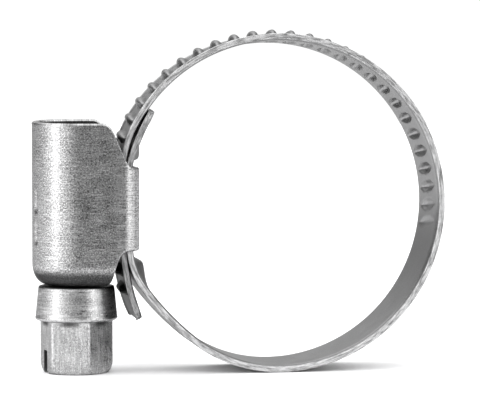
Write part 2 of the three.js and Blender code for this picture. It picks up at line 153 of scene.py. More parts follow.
# ---- derived sizes ----
half_width = BAND_WIDTH / 2
half_thickness = BAND_THICKNESS / 2
mid_radius = RING_INNER_DIAMETER / 2 + half_thickness
layer_step = BAND_THICKNESS + LAYER_GAP
saddle_outer = WORM_CREST_RADIUS + CREST_TO_BAND + 2 * layer_step    # from the screw axis
saddle_inner = saddle_outer + HOUSING_THICKNESS
worm_x = -(RING_INNER_DIAMETER / 2 - SADDLE_INSET) - saddle_inner
threaded_layer_x = worm_x + WORM_CREST_RADIUS + CREST_TO_BAND + half_thickness
fixed_layer_x = threaded_layer_x + layer_step
ring_bottom_z = -(mid_radius + half_thickness + EDGE_FLARE)
shoulder_z = HOUSING_BOTTOM_Z + HOUSING_THICKNESS + SHOULDER_GAP    # above the housing's end wall
collar_top_z = HOUSING_BOTTOM_Z - SHOULDER_GAP / 2
collar_bottom_z = collar_top_z - COLLAR_LENGTH

# ---- shading ----
SHARP_ANGLE = 50 * DEG       # faces that meet more sharply than this keep a hard edge
PAINTED_SHADE_GREY = 0.03                  # grey of the painted shade

# tone is a steel's dark and light grey, scratch_along how the grain's three directions are stretched for
# the scratches, scratch_share how much of the surface they cover, speckle how strong the fine grain is,
# grazing how much light is thrown back at a grazing angle, and edge_roughness what a worn edge adds.
STEELS = {
    "band_steel": {
        "tone": (0.28, 0.52), "roughness": 0.34, "scratch_along": (0.35, 9.0, 1.0),
        "scratch_share": 0.02, "speckle": 0.4, "grazing": 0.42, "edge_roughness": 0.2,
    },
    "housing_steel": {
        "tone": (0.13, 0.74), "roughness": 0.28, "scratch_along": (0.4, 7.5, 1.0),
        "scratch_share": 0.06, "speckle": 0.95, "grazing": 0.45, "edge_roughness": -0.04,
    },
    "screw_steel": {
        "tone": (0.24, 0.68), "roughness": 0.28, "scratch_along": (0.35, 0.35, 5.0),
        "scratch_share": 0.12, "speckle": 0.7, "grazing": 0.45, "edge_roughness": 0.0,
    },
}

# ---- studio ----
# The camera: where it stands (degrees), its distance and lens, and what it looks at from the ring's centre.
CAMERA_AZIMUTH = -9.8
CAMERA_ELEVATION = 2.3
CAMERA_DISTANCE = 237
CAMERA_LENS = 162.5
CAMERA_TARGET = (-3.66, 0, 0.03)

# Brightness round the clamp, by azimuth in degrees: 0 is in front, 90 at +X, 180 behind.
# A tall soft light stands at the left, a narrow one at the right, and a white screen hangs behind.
ROOM_BRIGHTNESS = [
    (-180, 1.06), (-165, 1.06), (-152, 0.1), (-125, 0.25), (-103, 0.7), (-86, 1.9), (-69, 2.5),
    (-44, 1.6), (-14, 0.65), (10, 0.16), (26, 0.5), (43, 1.7), (60, 1.1), (84, 1.4), (104, 1.0),
    (122, 0.1), (150, 0.2), (165, 1.06), (180, 1.06),
]
ROOM_TOP = 2.1               # brightness overhead
ROOM_PEAK = 3.0              # brightest value that the room's gradient can hold

# Soft boxes: direction from the clamp (azimuth and elevation, degrees), distance, size (m), power (W).
SOFT_BOXES = {
    "key": ((-69, 14), 0.36, (0.07, 0.3), 0.17),
    "right": ((44, 14), 0.36, (0.06, 0.26), 0.10),
}

# The table reaches far back but ends just in front of the clamp, so the steel mirrors the dim room (m).
FLOOR_HALF_SIZE = 3
FLOOR_IN_FRONT = 0.042

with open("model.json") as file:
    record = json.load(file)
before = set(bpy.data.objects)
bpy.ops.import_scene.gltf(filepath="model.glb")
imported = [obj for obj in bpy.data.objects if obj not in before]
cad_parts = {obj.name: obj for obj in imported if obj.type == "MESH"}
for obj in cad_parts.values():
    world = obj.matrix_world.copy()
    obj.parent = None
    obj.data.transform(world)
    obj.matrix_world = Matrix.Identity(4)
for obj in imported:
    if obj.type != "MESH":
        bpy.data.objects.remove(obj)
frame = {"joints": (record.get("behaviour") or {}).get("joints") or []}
cad_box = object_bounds()
joints = {joint["name"]: joint for joint in frame["joints"]}

# The screw's axis passes through the height of the ring's centre.
ring_centre = np.array(joints["screw_turn"]["pos_m"]) * 1000 - [worm_x, 0, 0]


def place(points):
    """Points in the ring's frame, in millimetres, as points in the CAD frame, in metres."""
    return (np.asarray(points, float) + ring_centre) / 1000


# ---------- meshes ----------

def smoothstep(start, end, value):
    t = np.clip((value - start) / (end - start), 0, 1)
    return t * t * (3 - 2 * t)


def grid_faces(rows, columns, close_rows=False):
    """Quads of a grid of vertices whose columns close on themselves, and its rows too if close_rows."""
    faces = []
    for row in range(rows if close_rows else rows - 1):
        below = (row + 1) % rows
        for column in range(columns):
            beside = (column + 1) % columns
            faces.append((row * columns + column, row * columns + beside,
                          below * columns + beside, below * columns + column))
    return faces


def tube_faces(rows, columns):
    """Quads of a tube, and the two flat faces that close its ends."""
    last = (rows - 1) * columns
    ends = [tuple(range(columns)), tuple(range(last, last + columns))]
    return grid_faces(rows, columns) + ends


def unit(vectors):
    return vectors / np.linalg.norm(vectors, axis=-1, keepdims=True)


def add_object(name, data):
    made = bpy.data.objects.new(name, data)
    bpy.context.scene.collection.objects.link(made)
    return made


def make_piece(name, points, faces, grain, wear_and_highlight, painted_shade):
    """A closed mesh with smooth faces and sharp corners.

    grain is where each vertex lies on the sheet or strip, in millimetres, for the materials' pattern.
    wear is 1 on sheared edges and also holds a painted highlight on the housing; the last values are
    painted shade, 1 where it is darkest. Both are 0 elsewhere.
    """
    mesh = bpy.data.meshes.new(name)
    mesh.from_pydata(place(points).tolist(), [], faces)
    mesh.attributes.new("grain", "FLOAT_VECTOR", "POINT").data.foreach_set(
        "vector", np.asarray(grain, np.float32).ravel())
    for label, values in (("wear_and_highlight", wear_and_highlight), ("painted_shade", painted_shade)):
        mesh.attributes.new(label, "FLOAT", "POINT").data.foreach_set(
            "value", np.asarray(values, np.float32).ravel())
    shaped = bmesh.new()
    shaped.from_mesh(mesh)
    bmesh.ops.recalc_face_normals(shaped, faces=shaped.faces)
    shaped.to_mesh(mesh)
    shaped.free()
    mesh.shade_smooth()
    mesh.set_sharp_from_angle(angle=SHARP_ANGLE)
    return add_object(name, mesh)


# ---------- the strip's line ----------

def along(heading):
    return np.stack([np.sin(heading), -np.cos(heading)], axis=-1)


def inward(heading):
    return np.stack([np.cos(heading), np.sin(heading)], axis=-1)


def arc(radius, start, end):
    return radius * (end - start), 1 / radius, start


def straight(length, heading):
    return length, 0.0, heading


def exit_radii():
    """Radii of the two bends that bring the strip from its exit onto the ring's circle."""
    shares = np.array([
        [math.cos(EXIT_HEADING) - math.cos(RELAXED_HEADING), math.cos(RELAXED_HEADING)],
        [math.sin(RELAXED_HEADING) - math.sin(EXIT_HEADING), 1 - math.sin(RELAXED_HEADING)]])
    return np.linalg.solve(shares, [
        -fixed_layer_x - EXIT_RADIUS * (1 - math.cos(EXIT_HEADING)),
        EXIT_Z + mid_radius - EXIT_RADIUS * math.sin(EXIT_HEADING)])


def strip_bends():
    """Length, curvature and first heading of every bend, from the tongue's tip to the tail's."""
    relaxed_radius, lower_radius = exit_radii()
    upper_radius = (-(threaded_layer_x + ENTRY_RADIUS * (1 - math.cos(ENTRY_ANGLE)))
                    / math.cos(ENTRY_ANGLE))
    channel_top_z = (mid_radius - upper_radius * (1 - math.sin(ENTRY_ANGLE))
                     - ENTRY_RADIUS * math.sin(ENTRY_ANGLE))
    tongue_bend_z = SADDLE_TOP_Z - TONGUE_BEND_BELOW_SADDLE_TOP
    return {
        "tongue": arc(TONGUE_RADIUS, TONGUE_TIP_HEADING, TONGUE_BEND_HEADING),
        "tongue_bend": arc(TONGUE_BEND_RADIUS, TONGUE_BEND_HEADING, 0),
        "on_saddle": straight(tongue_bend_z - EXIT_Z, 0),
        "exit": arc(EXIT_RADIUS, 0, EXIT_HEADING),
        "relaxed": arc(relaxed_radius, EXIT_HEADING, RELAXED_HEADING),
        "lower": arc(lower_radius, RELAXED_HEADING, 90 * DEG),
        "ring": arc(mid_radius, 90 * DEG, 270 * DEG),
        "upper": arc(upper_radius, 270 * DEG, FULL_TURN - ENTRY_ANGLE),
        "entry": arc(ENTRY_RADIUS, FULL_TURN - ENTRY_ANGLE, FULL_TURN),
        "channel": straight(channel_top_z - TAIL_START_Z, FULL_TURN),
        "tail": arc(TAIL_RADIUS, FULL_TURN, FULL_TURN + TAIL_ANGLE),
    }


class StripLine:
    """The bends laid end to end, with the lowest point of the ring under the ring's centre."""

    def __init__(self, bends):
        self.names = list(bends)
        self.lengths, self.curvatures, self.headings = (np.array(v) for v in zip(*bends.values()))
        ends = np.cumsum(self.lengths)
        self.starts = np.concatenate([[0], ends[:-1]])
        self.total = ends[-1]
        self.points = np.zeros((len(bends), 2))
        for i in range(1, len(bends)):
            self.points[i] = self.at(self.starts[i] - 1e-9)[0]
        lowest = self.points[self.names.index("ring")].copy()
        self.points += [0, -mid_radius] - lowest

    def at(self, distance):
        """Point (x, z) and heading of the middle line at each distance."""
        distance = np.asarray(distance, float)
        i = np.clip(np.searchsorted(self.starts, distance, side="right") - 1, 0, None)
        past = distance - self.starts[i]
        heading = self.headings[i] + past * self.curvatures[i]
        bent = self.curvatures[i] != 0
        radius = 1 / np.where(bent, self.curvatures[i], 1)
        turned = radius[..., None] * (inward(self.headings[i]) - inward(heading))
        point = self.points[i] + np.where(bent[..., None], turned, past[..., None] * along(heading))
        return point, heading

    def start_of(self, name):
        return self.starts[self.names.index(name)]

    def at_heading(self, heading):
        ends = self.headings + self.lengths * self.curvatures
        i = np.flatnonzero((self.curvatures > 0) & (heading >= self.headings) & (heading <= ends))[0]
        return self.starts[i] + (heading - self.headings[i]) / self.curvatures[i]


line = StripLine(strip_bends())
tongue_end = line.start_of("on_saddle")
channel_start = line.start_of("channel")
tail_start = line.start_of("tail")
thread_start = line.at_heading(THREAD_END_HEADING)
thread_zero = tail_start + TAIL_START_Z                 # where the threaded layer passes z = 0
saddle_top_distance = tongue_end - TONGUE_BEND_BELOW_SADDLE_TOP
saddle_bottom_distance = saddle_top_distance + SADDLE_TOP_Z - SADDLE_BOTTOM_Z
ridge_slope = THREAD_PITCH / (FULL_TURN * (WORM_CREST_RADIUS - 0.1))


# ---------- band ----------

def ridges(distance, y):
    """Height of the pressed ridges above the strip, and 1 along each ridge's foot, where shade is painted.

    A ridge is round in section and narrows to a point towards the strip's two edges.
    """
    steps = (thread_zero - distance - ridge_slope * y) / THREAD_PITCH - 0.5
    ridge = np.round(steps)
    centre = thread_zero - (ridge + 0.5) * THREAD_PITCH
    present = (centre > thread_start) & (centre < line.total - FIRST_RIDGE_FROM_TIP)
    strength = smoothstep(thread_start, thread_start + FAINT_RIDGES * THREAD_PITCH, centre)
    plan = np.clip((RIDGE_HALF_LENGTH - np.abs(y)) / RIDGE_TAPER, 0, 1)
    off = np.abs(steps - ridge) * THREAD_PITCH / np.maximum(RIDGE_HALF_WIDTH * plan ** 0.7, 1e-3)
    round_top = np.maximum(1 - off ** 2, 0) ** 0.75
    height = RIDGE_HEIGHT * (0.2 + 0.8 * strength) * plan ** 0.6 * round_top
    # painted shade along each ridge's foot
    foot = np.exp(-((off - 0.95) / 0.3) ** 2) * smoothstep(0, 0.1, plan) * (1 - 0.6 * plan) * strength
    return np.where(present, height, 0), np.where(present, foot, 0)


def edge_flare(y):
    past = np.maximum(np.abs(y) - (half_width - EDGE_FLARE_WIDTH), 0) / EDGE_FLARE_WIDTH
    return EDGE_FLARE * past ** 1.5


def bulge(distance, y):
    """How far the strip is pressed inwards beside the saddle's two edges."""
    across = np.maximum(0, 1 - (y / BULGE_HALF_WIDTH) ** 2) ** 2
    height = 0
    for edge_distance, (top, rise, fall) in ((distance - saddle_bottom_distance, LOWER_BULGE),
                                             (saddle_top_distance - distance, UPPER_BULGE)):
        crest = BULGE_GAP + rise
        height = height + (top * smoothstep(BULGE_GAP, crest, edge_distance)
                           * (1 - smoothstep(crest, crest + fall, edge_distance)))
    return across * height


def strip_section():
    """Places round the strip's section: across it, through it (inner side positive) and edge wear."""
    flat = half_width - EDGE_ROUNDING
    face = np.concatenate([
        np.linspace(-flat, -half_width + EDGE_FLARE_WIDTH, 5)[:-1],
        np.linspace(-half_width + EDGE_FLARE_WIDTH, half_width - EDGE_FLARE_WIDTH, 27),
        np.linspace(half_width - EDGE_FLARE_WIDTH, flat, 5)[1:],
    ])
    corner = np.linspace(0, 90, 5)[1:-1] * DEG
    deep = half_thickness - EDGE_ROUNDING
    rounded = np.concatenate([corner, corner + 90 * DEG])
    upper = rounded < 90 * DEG
    side_y = flat + EDGE_ROUNDING * np.sin(rounded)
    side_through = np.where(upper, deep, -deep) + EDGE_ROUNDING * np.cos(rounded)
    mid = len(corner)
    side_y = np.insert(side_y, [mid, mid], half_width)
    side_through = np.insert(side_through, [mid, mid], [deep, -deep])
    y = np.concatenate([face, side_y, face[::-1], -side_y])
    through = np.concatenate([np.full(len(face), half_thickness), side_through,
                              np.full(len(face), -half_thickness), -side_through])
    worn = smoothstep(half_width - 1.6 * EDGE_ROUNDING, half_width - 0.5 * EDGE_ROUNDING, np.abs(y))
    return y, through, worn


def strip_rows(start, end, round_start, round_end):
    """Distances along the strip where a piece has a row of vertices."""
    rows = [start]
    while rows[-1] < end:
        threaded = rows[-1] > thread_start - THREAD_PITCH
        shaped = rows[-1] < saddle_bottom_distance + sum(LOWER_BULGE)
        step = THREAD_PITCH / 14 if threaded else 0.25 if shaped else 0.45
        rows.append(rows[-1] + step)
    rows = [row for row in rows if row < end - 0.08] + [end]
    tip = TIP_RADIUS * (1 - np.cos(np.linspace(0, 90, 12) * DEG))
    if round_start:
        rows = [start + t for t in tip] + [row for row in rows if row > start + TIP_RADIUS + 0.1]
    if round_end:
        rows = [row for row in rows if row < end - TIP_RADIUS - 0.1] + [end - t for t in tip[::-1]]
    return np.array(rows)


def rounded_tip(rows, start, end, round_start, round_end):
    """Distance of each row from a rounded tip, and the shares of width and thickness left there."""
    from_tip = np.full_like(rows, TIP_RADIUS)
    if round_start:
        from_tip = np.minimum(rows - start, TIP_RADIUS)
    if round_end:
        from_tip = np.minimum(end - rows, TIP_RADIUS)
    cut_in = TIP_RADIUS - np.sqrt(np.maximum(TIP_RADIUS ** 2 - (TIP_RADIUS - from_tip) ** 2, 0))
    near_tip = np.clip(from_tip / EDGE_ROUNDING, 0, 1)
    thickness = 1 - EDGE_ROUNDING / half_thickness * (1 - np.sqrt(1 - (1 - near_tip) ** 2))
    return from_tip, 1 - cut_in / half_width, thickness


def strip_painted_shade(rows, y, through, foot):
    """Painted shade on the strip's two ends, at the feet of the ridges and along the creases inside."""
    # painted shade: a dark line in the crease inside each long edge
    crease = np.exp(-((np.abs(y) - half_width + 2.4 * EDGE_ROUNDING) / 0.09) ** 2)
    # painted shade on the two ends, which lie inside the housing
    ends = 0.7 * smoothstep(channel_start - 5, channel_start, rows)
    ends = np.maximum(ends, 0.45 * (rows < tongue_end) * smoothstep(0.6, 1.4, rows))
    painted_shade = np.maximum(foot * np.where(through > 0, 0.3, 0.8), 0.5 * crease * (through > 0))
    return np.maximum(painted_shade, ends)


def strip_piece(name, start, end, round_start=False, round_end=False):
    """One length of the band, with flat closed ends where it meets the next."""
    rows = strip_rows(start, end, round_start, round_end)[:, None]
    y, through, worn = (values[None, :] for values in strip_section())
    from_tip, width, thickness = rounded_tip(rows, start, end, round_start, round_end)
    height, foot = ridges(rows, y)
    inside = through * thickness - height - edge_flare(y) + bulge(rows, y)
    middle, heading = line.at(rows)
    xz = middle + inward(heading) * inside[..., None]
    across = y * width
    points = np.stack([xz[..., 0], across, xz[..., 1]], axis=-1)
    grain = np.stack(np.broadcast_arrays(rows, across, through), axis=-1)
    wear_and_highlight = np.maximum(worn, 1 - smoothstep(0, 2 * EDGE_ROUNDING, from_tip))
    painted_shade = strip_painted_shade(rows, y, through, foot)
    faces = tube_faces(len(rows), y.shape[1])
    piece = make_piece(name, points.reshape(-1, 3), faces, grain.reshape(-1, 3), wear_and_highlight, painted_shade)
    piece.data.materials.append(materials["band_steel"])
    return piece


def bend_at(piece):
    """Bakes the piece's placing into its mesh."""
    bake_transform(piece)


def between_ridges(distance):
    """The nearest place on the strip that lies midway between two ridges."""
    return thread_zero - round((thread_zero - distance) / THREAD_PITCH) * THREAD_PITCH


def build_band():
    """The strip, cut midway between its flexing places and once more inside the housing."""
    hinges = [line.at_heading(heading) for heading in HINGE_HEADINGS]
    middles = [between_ridges((a + b) / 2) for a, b in zip(hinges, hinges[1:])]
    seams = [0, *middles, channel_start]
    for i, hinge in enumerate(hinges):
        first = i == 0
        name = "band_start" if first else f"band_ring_{i}"
        piece = strip_piece(name, seams[i], seams[i + 1], round_start=first)
        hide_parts(f"band_link_{i + 1}", *(["band_anchor"] if first else []))
        bend_at(piece)
    free_end = strip_piece("band_free_end", channel_start, line.total, round_end=True)
    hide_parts("band_channel", "band_tail")
    bend_at(free_end)


# ---------- housing ----------

def bezier(*points, count=24):
    """Points of the Bezier curve with these two, three or four control points."""
    t = np.linspace(0, 1, count)[:, None]
    layers = [np.array(p, float)[None, :] * np.ones_like(t) for p in points]
    while len(layers) > 1:
        layers = [a * (1 - t) + b * t for a, b in zip(layers, layers[1:])]
    return layers[0]


def evenly(path, count):
    """count points at equal steps along a path of points."""
    steps = np.linalg.norm(np.diff(path, axis=0), axis=1)
    length = np.concatenate([[0], np.cumsum(steps)])
    wanted = np.linspace(0, length[-1], count)
    return np.stack([np.interp(wanted, length, path[:, i]) for i in range(path.shape[1])], axis=1)


class Sheet:
    """Middle surface of the housing's sheet, from the saddle's middle round the back to the dome's.

    u runs round the section across the screw. q is the height above the place where the lower end starts
    to be drawn in. Below that it is negative, and its size is the way along the rounding and the end wall.
    """

    def __init__(self):
        half = HOUSING_THICKNESS / 2
        self.depth = WORM_CREST_RADIUS + WORM_TO_BARREL + half
        self.side = half_width + BAND_SIDE_GAP + half
        self.saddle = saddle_outer + half
        self.corner = SADDLE_CORNER_RADIUS - half
        self.round_depth = END_ROUND_DEPTH - half
        self.round_height = END_ROUND_HEIGHT - half
        self.round_z = HOUSING_BOTTOM_Z + END_ROUND_HEIGHT
        quarter = np.linspace(0, 90, 200) * DEG
        flat = bezier((self.saddle, 0), (self.saddle, self.side - self.corner), count=400)
        corner = np.stack([self.saddle - self.corner * (1 - np.cos(quarter)),
                           self.side - self.corner * (1 - np.sin(quarter))], axis=1)
        wall = bezier((self.saddle - self.corner, self.side), (0, self.side), count=500)
        dome = np.stack([-self.depth * np.sin(quarter), self.side * np.cos(quarter)], axis=1)
        path = np.concatenate([flat, corner[1:], wall[1:], dome[1:]])
        self.u = np.concatenate([[0], np.cumsum(np.linalg.norm(np.diff(path, axis=0), axis=1))])
        self.path = path
        tangent = np.gradient(path, self.u, axis=0)
        self.normal = np.stack([tangent[:, 1], -tangent[:, 0]], axis=1)
        self.u_corner = self.side - self.corner
        self.u_wall = self.u[len(flat) + len(corner) - 2]
        self.u_dome = self.u[len(flat) + len(corner) + len(wall) - 3]
        rounding = np.stack([self.round_depth * (1 - np.cos(quarter)),
                             self.round_height * np.sin(quarter)], axis=1)
        self.round_angle = quarter
        self.round_way = np.concatenate(
            [[0], np.cumsum(np.linalg.norm(np.diff(rounding, axis=0), axis=1))])
        self.round_length = self.round_way[-1]

    def section(self, u):
        point = np.stack([np.interp(u, self.u, self.path[:, i]) for i in (0, 1)], axis=-1)
        normal = np.stack([np.interp(u, self.u, self.normal[:, i]) for i in (0, 1)], axis=-1)
        return point, unit(normal)

    def u_at_wall(self, x):
        return self.u_wall + (self.saddle - self.corner) - x

    def end_wall_width(self, u):
        """Width of the end wall between the drawn-in outline and the hole round the screw's neck."""
        point, normal = self.section(u)
        outline = point - normal * self.round_depth
        return np.linalg.norm(outline, axis=-1) - NECK_RADIUS - NECK_CLEARANCE

    def at(self, u, q):
        """Points and outward normals, from the screw's axis."""
        point, normal = self.section(u)
        angle = np.interp(-q, self.round_way, self.round_angle)[..., None]
        drawn_in = point - normal * self.round_depth * (1 - np.cos(angle))
        past_round = np.maximum(-q - self.round_length, 0)[..., None]
        flat = drawn_in - unit(drawn_in) * past_round
        z = self.round_z + np.maximum(q, 0)[..., None] - self.round_height * np.sin(angle)
        tilt = np.concatenate([normal * self.round_height * np.cos(angle),
                               -self.round_depth * np.sin(angle)], axis=-1)
        return np.concatenate([flat, z], axis=-1), unit(tilt)


def housing_top_edge(sheet):
    """Side view (x, z) of the sheet's upper edge, from the saddle to the dome."""
    foot = (saddle_inner - SLANT_FOOT[0], SADDLE_TOP_Z + SLANT_FOOT[1])
    top = (END_WALL_REACH + SLANT_TOP[0], HOUSING_TOP_Z - SLANT_TOP[1])
    return np.concatenate([
        bezier((sheet.saddle, SADDLE_TOP_Z), (foot[0] + 0.85, SADDLE_TOP_Z)),
        bezier((foot[0] + 0.85, SADDLE_TOP_Z), (foot[0] + 0.35, SADDLE_TOP_Z), foot),
        bezier(foot, top),
        bezier(top, (top[0] - 0.5, HOUSING_TOP_Z), (top[0] - 1.3, HOUSING_TOP_Z)),
        bezier((top[0] - 1.3, HOUSING_TOP_Z), (-sheet.depth, HOUSING_TOP_Z)),
    ])


def housing_bottom_edge(sheet, fade_x):
    """The lower edge as (x, q), from the saddle to where the end wall is whole at fade_x."""
    saddle_q = SADDLE_BOTTOM_Z - sheet.round_z
    cut = (END_WALL_REACH + LOWER_CUT[0], saddle_q - LOWER_CUT[1])
    level_end = (saddle_inner - SLANT_FOOT[0] + 0.45, saddle_q)
    drawn_in = -sheet.round_length
    whole = drawn_in - sheet.end_wall_width(sheet.u_at_wall(fade_x))
    near_whole = (fade_x + 0.5, 0.2 * drawn_in + 0.8 * whole)
    return np.concatenate([
        bezier((sheet.saddle, saddle_q), level_end),
        bezier(level_end, (cut[0] + 0.6, saddle_q), (cut[0] + 0.3, cut[1] + 0.9), cut),
        bezier(cut, (END_WALL_REACH + 0.15, 0.4 * drawn_in), (END_WALL_REACH + 0.15, drawn_in),
               near_whole),
        bezier(near_whole, (fade_x + 0.2, whole), (fade_x, whole)),
    ])


def past(path, x):
    """The part of a path of falling x that lies beyond this x, starting there."""
    start = [np.interp(-x, -path[:, 0], path[:, i]) for i in range(path.shape[1])]
    return np.concatenate([[start], path[path[:, 0] < x - 1e-6]])


def housing_columns(sheet):
    """(u, q) of the top and bottom end of every column of vertices on the back of the housing."""
    fade_x = 1.4
    top = housing_top_edge(sheet)
    bottom = housing_bottom_edge(sheet, fade_x)
    wall_x = sheet.saddle - sheet.corner
    level_u = np.concatenate([np.linspace(0, sheet.u_corner, 12)[:-1],
                              np.linspace(sheet.u_corner, sheet.u_wall, 12)[:-1]])
    level_x = sheet.section(level_u)[0][:, 0]
    level_top = np.interp(-level_x, -top[:, 0], top[:, 1]) - sheet.round_z
    level_bottom = np.interp(-level_x, -bottom[:, 0], bottom[:, 1])
    slant_top = past(top, wall_x)
    slant_top = evenly(slant_top[slant_top[:, 0] >= fade_x], 52)
    slant_bottom = evenly(past(bottom, wall_x), 52)
    whole_u = np.concatenate([np.linspace(sheet.u_at_wall(fade_x), sheet.u_dome, 8)[1:-1],
                              np.linspace(sheet.u_dome, sheet.u[-1], 54)])
    whole_top = np.full(len(whole_u), HOUSING_TOP_Z - sheet.round_z)
    whole_bottom = -sheet.round_length - sheet.end_wall_width(whole_u)
    top_ends = np.stack([
        np.concatenate([level_u, sheet.u_at_wall(slant_top[:, 0]), whole_u]),
        np.concatenate([level_top, slant_top[:, 1] - sheet.round_z, whole_top])], axis=1)
    bottom_ends = np.stack([
        np.concatenate([level_u, sheet.u_at_wall(slant_bottom[:, 0]), whole_u]),
        np.concatenate([level_bottom, slant_bottom[:, 1], whole_bottom])], axis=1)
    return top_ends, bottom_ends


def pressed_marks(points):
    """Depth of the two plain bars pressed into the dome."""
    x, y, z = points[..., 0], points[..., 1], points[..., 2]
    soft = 0.14
    across = 1 - smoothstep(MARK_WIDTH / 2 - soft, MARK_WIDTH / 2 + soft, np.abs(y - MARK_Y))
    depth = 0
    for top in MARK_TOPS:
        off = np.abs(z - top + MARK_LENGTH / 2)
        depth = depth + 1 - smoothstep(MARK_LENGTH / 2 - soft, MARK_LENGTH / 2 + soft, off)
    return np.where(x < 0, MARK_DEPTH * across * depth, 0)


def both_sides(front, back):
    """The front's columns, then the back's in reverse without the two that they share."""
    return np.concatenate([front, back[:, -2:0:-1]], axis=1)


def whole_sheet(sheet):
    """Middle surface all round, with its upper rim tilted: points, outward normals, u and q."""
    top_ends, bottom_ends = housing_columns(sheet)
    top_ends[:, 1] -= RIM_ROUNDING
    bottom_ends[:, 1] += RIM_ROUNDING
    share = np.linspace(0, 1, SHEET_ROWS)[:, None]
    u = top_ends[:, 0] * (1 - share) + bottom_ends[:, 0] * share
    q = top_ends[:, 1] * (1 - share) + bottom_ends[:, 1] * share
    back, normal = sheet.at(u, q)
    tilt = TOP_TILT * smoothstep(SADDLE_TOP_Z, HOUSING_TOP_Z, back[..., 2]) * back[..., 1]
    tilt *= smoothstep(-sheet.saddle, -END_WALL_REACH, -back[..., 0])
    back[..., 2] += tilt
    mirror = np.array([1, -1, 1])
    front = back * mirror
    front[..., 2] -= 2 * tilt
    return (both_sides(front, back), both_sides(normal * mirror, normal),
            both_sides(u, 2 * sheet.u[-1] - u), both_sides(q, q))


def rim_steps():
    """Steps round a cut edge: through the sheet from its middle, and out of the edge."""
    half = HOUSING_THICKNESS / 2
    angle = np.linspace(90, 0, 5)[1:] * DEG
    steps = [(half - RIM_ROUNDING + RIM_ROUNDING * math.sin(a), RIM_ROUNDING * math.cos(a))
             for a in angle]
    return steps + [(-through, out) for through, out in reversed(steps)]


def over_skin(values, rim_rows):
    """Values on the middle surface, as rows of the outer face, lower rim, inner face and upper rim."""
    return np.concatenate([values, np.repeat(values[-1:], rim_rows, axis=0), values[::-1],
                           np.repeat(values[:1], rim_rows, axis=0)])


def housing_wear_highlight_and_shade(sheet, middle, outer, marks, down, rim_rows):
    """Wear on the rims and the marks, a painted highlight near the saddle, and painted shade low down and
    inside.
    """
    rows = len(middle)
    wear_and_highlight = np.zeros(down.shape)
    wear_and_highlight[rows:rows + rim_rows] = 1
    wear_and_highlight[-rim_rows:] = 1 - 0.6 * smoothstep(HOUSING_TOP_Z - 0.8, HOUSING_TOP_Z - 0.3, middle[0, :, 2])
    wear_and_highlight[0] = 0.6 * wear_and_highlight[-1]
    # painted highlight: the outer wall is lightened where it wraps towards the saddle
    painted_highlight = smoothstep(sheet.saddle - 2.9, sheet.saddle - 1.7, outer[..., 0])
    wear_and_highlight[:rows] = np.maximum(wear_and_highlight[:rows], np.maximum(0.55 * painted_highlight, 0.9 * marks / MARK_DEPTH))
    # painted shade: darkens the drawn-in lower end and the whole inner face
    painted_shade = 1 - smoothstep(-1.2, -0.3, down)
    painted_shade[rows + rim_rows:-rim_rows] = 1
    return wear_and_highlight, painted_shade


def build_housing():
    """The pressed sheet as one closed skin: outer face, lower rim, inner face and upper rim."""
    sheet = Sheet()
    middle, normal, u, q = whole_sheet(sheet)
    half = HOUSING_THICKNESS / 2
    outer = middle + normal * half
    marks = pressed_marks(outer)
    outer -= normal * marks[..., None]
    inner = (middle - normal * half)[::-1]
    steps = rim_steps()
    below = unit(middle[-1] - middle[-2])
    above = unit(middle[0] - middle[1])
    lower_rim = [middle[-1] + normal[-1] * through + below * out for through, out in steps]
    upper_rim = [middle[0] - normal[0] * through + above * out for through, out in steps]
    points = np.concatenate([outer, lower_rim, inner, upper_rim])
    around = over_skin(u, len(steps))
    down = over_skin(q, len(steps))
    wear_and_highlight, painted_shade = housing_wear_highlight_and_shade(sheet, middle, outer, marks, down, len(steps))
    grain = np.stack([around, down, np.zeros_like(down)], axis=-1)
    faces = grid_faces(len(points), points.shape[1], close_rows=True)
    points = points.reshape(-1, 3) + [worm_x, 0, 0]
    piece = make_piece("housing_shell", points, faces, grain.reshape(-1, 3), wear_and_highlight, painted_shade)
    piece.data.materials.append(materials["housing_steel"])
    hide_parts("housing")
    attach(piece, "housing")


# ---------- worm screw ----------

def thread_share(z, angle):
    """Share of the thread's full height at a height and an angle round the screw (right-hand thread)."""
    turns = z / THREAD_PITCH - angle / FULL_TURN
    off = np.abs(turns - np.round(turns)) * THREAD_PITCH
    ends = (smoothstep(THREAD_BOTTOM_Z, THREAD_BOTTOM_Z + 1.2, z)
            * (1 - smoothstep(THREAD_TOP_Z - 1.2, THREAD_TOP_Z, z)))
    return ends * (1 - smoothstep(0.22, 0.6, off))


def rounded_corner(radius_in, radius_out, z_corner, z_inside, rounding, steps=4):
    """Rings (radius, z) that round off an outer corner, from the end face to the side."""
    turn = np.linspace(0, 90, steps + 1) * DEG
    down = math.copysign(rounding, z_inside - z_corner)
    rings = [(radius_in, z_corner)]
    rings += [(radius_out - rounding + rounding * math.sin(a), z_corner + down * (1 - math.cos(a)))
              for a in turn]
    return rings


def hexagon_radius(angle):
    """Radius of the hexagon, whose corners are a little round. The slot runs from flat to flat."""
    sharpness = 44
    total = sum(np.abs(np.cos(angle - HEX_TURN - 60 * i * DEG)) ** sharpness for i in range(3))
    return HEX_ACROSS_FLATS / 2 / total ** (1 / sharpness)


def round_rings(profile, worn=0):
    """Rings of the screw (z, radii, wear) from pairs of radius and z."""
    return [(z, np.full(SCREW_COLUMNS, radius), worn) for radius, z in profile]


